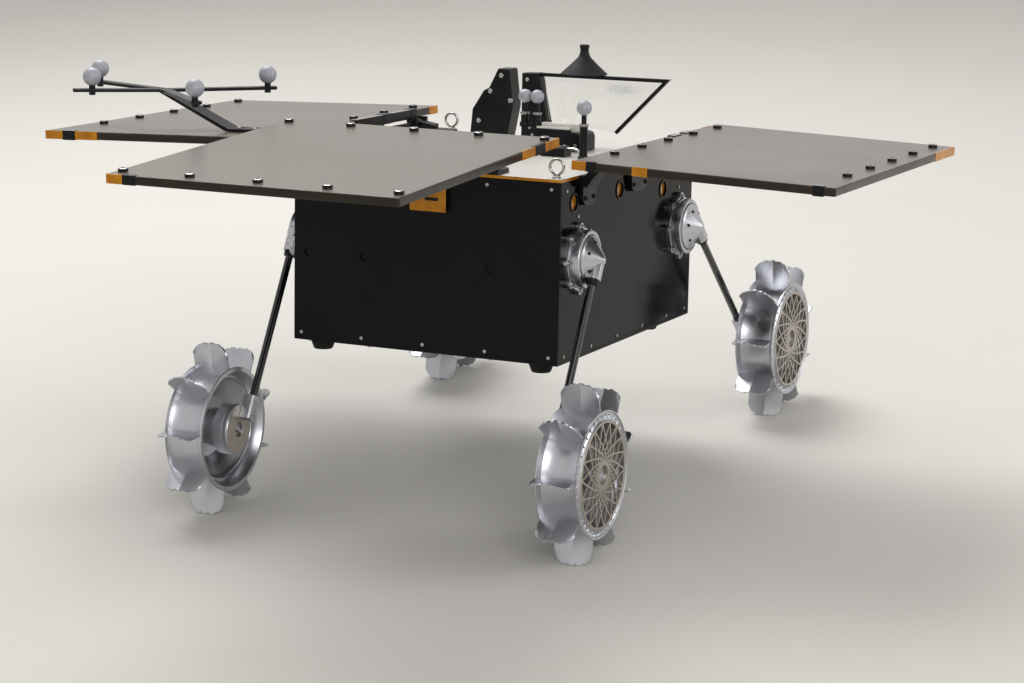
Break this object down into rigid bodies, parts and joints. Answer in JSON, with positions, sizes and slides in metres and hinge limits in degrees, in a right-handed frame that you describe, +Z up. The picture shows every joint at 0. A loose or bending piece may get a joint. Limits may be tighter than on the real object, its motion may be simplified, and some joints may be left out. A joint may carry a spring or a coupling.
{
  "type": "planetary rover",
  "caption": "Small box-bodied planetary rover on swinging legs with grouser wheels, hinged solar panels and a fitted deck.",
  "frame": {"origin": "on the floor, in the middle of the whole outline seen from above", "axes": "+X to the rover's right, -Y to its front, +Z up"},
  "size_m": [1.0461, 1.0526, 0.5242],
  "materials": {
    "black_skin": "gloss black composite",
    "dark_frame": "black anodised",
    "deck": "bright film",
    "clear_pane": "clear acrylic",
    "steel": "plain",
    "marker": "grey reflective film",
    "amber_bracket": "amber film over metal",
    "cell_plate": "grey brown plate, fine grain",
    "machined_aluminium": "satin machined",
    "black_tube": "gloss black tube"
  },
  "bodies": {
    "body": {"body_frame": "dark_frame", "front_panel": "black_skin", "rear_panel": "black_skin", "side_panel_left": "black_skin", "side_panel_right": "black_skin", "base_plate": "black_skin", "deck_plate": "deck", "shoulder_front_left": "machined_aluminium", "shoulder_front_right": "machined_aluminium", "shoulder_rear_left": "machined_aluminium", "shoulder_rear_right": "machined_aluminium", "panel_hinge_front": "amber_bracket", "panel_hinge_right": "amber_bracket", "panel_hinge_left": "amber_bracket", "lifting_eye_front": "steel", "lifting_eye_rear": "steel", "cable_tower": "black_skin", "mast_plate": "black_skin", "window_frame": "black_skin", "window_pane": "clear_pane", "strain_cone": "black_skin", "equipment_box": "black_skin", "marker_near": "marker", "marker_pair": "marker", "deck_connector": "black_skin"},
    "leg_front_left": {"leg_front_left": "black_tube", "wheel_drive_front_left": "machined_aluminium"},
    "wheel_front_left": {"wheel_rim_front_left": "machined_aluminium", "wheel_disc_front_left": "machined_aluminium"},
    "leg_front_right": {"leg_front_right": "black_tube", "wheel_drive_front_right": "machined_aluminium"},
    "wheel_front_right": {"wheel_rim_front_right": "machined_aluminium", "wheel_disc_front_right": "machined_aluminium"},
    "leg_rear_left": {"leg_rear_left": "black_tube", "wheel_drive_rear_left": "machined_aluminium"},
    "wheel_rear_left": {"wheel_rim_rear_left": "machined_aluminium", "wheel_disc_rear_left": "machined_aluminium"},
    "leg_rear_right": {"leg_rear_right": "black_tube", "wheel_drive_rear_right": "machined_aluminium"},
    "wheel_rear_right": {"wheel_rim_rear_right": "machined_aluminium", "wheel_disc_rear_right": "machined_aluminium"},
    "panel_front": {"solar_panel_front": "cell_plate"},
    "panel_right": {"solar_panel_right": "cell_plate"},
    "panel_left": {"solar_panel_left": "cell_plate", "marker_tree": "marker"}
  },
  "joints": [
    {"name": "leg_front_left_swing", "type": "hinge", "parent": "body", "child": "leg_front_left", "pos_m": [-0.19, -0.07633, 0.31666], "axis": [-1, 0, 0], "range_deg": [-28.6, 66.4]},
    {"name": "wheel_front_left_spin", "type": "hinge", "parent": "leg_front_left", "child": "wheel_front_left", "pos_m": [-0.245, -0.21965, 0.10092], "axis": [1, 0, 0], "continuous": true},
    {"name": "leg_front_right_swing", "type": "hinge", "parent": "body", "child": "leg_front_right", "pos_m": [0.19, -0.07633, 0.31666], "axis": [-1, 0, 0], "range_deg": [-28.6, 66.4]},
    {"name": "wheel_front_right_spin", "type": "hinge", "parent": "leg_front_right", "child": "wheel_front_right", "pos_m": [0.245, -0.21965, 0.10092], "axis": [1, 0, 0], "continuous": true},
    {"name": "leg_rear_left_swing", "type": "hinge", "parent": "body", "child": "leg_rear_left", "pos_m": [-0.19, 0.24245, 0.28879], "axis": [1, 0, 0], "range_deg": [-48.5, 46.5]},
    {"name": "wheel_rear_left_spin", "type": "hinge", "parent": "leg_rear_left", "child": "wheel_rear_left", "pos_m": [-0.245, 0.42075, 0.10092], "axis": [1, 0, 0], "continuous": true},
    {"name": "leg_rear_right_swing", "type": "hinge", "parent": "body", "child": "leg_rear_right", "pos_m": [0.19, 0.24245, 0.28879], "axis": [1, 0, 0], "range_deg": [-48.5, 46.5]},
    {"name": "wheel_rear_right_spin", "type": "hinge", "parent": "leg_rear_right", "child": "wheel_rear_right", "pos_m": [0.245, 0.42075, 0.10092], "axis": [1, 0, 0], "continuous": true},
    {"name": "panel_front_fold", "type": "hinge", "parent": "body", "child": "panel_front", "pos_m": [0, -0.11967, 0.45245], "axis": [-1, 0, 0], "range_deg": [0, 60]},
    {"name": "panel_right_fold", "type": "hinge", "parent": "body", "child": "panel_right", "pos_m": [0.199, 0.09251, 0.41081], "axis": [0, -0.9962, 0.0871], "range_deg": [0, 60]},
    {"name": "panel_left_fold", "type": "hinge", "parent": "body", "child": "panel_left", "pos_m": [-0.199, 0.09251, 0.41081], "axis": [0, 0.9962, -0.0871], "range_deg": [0, 60]}
  ]
}
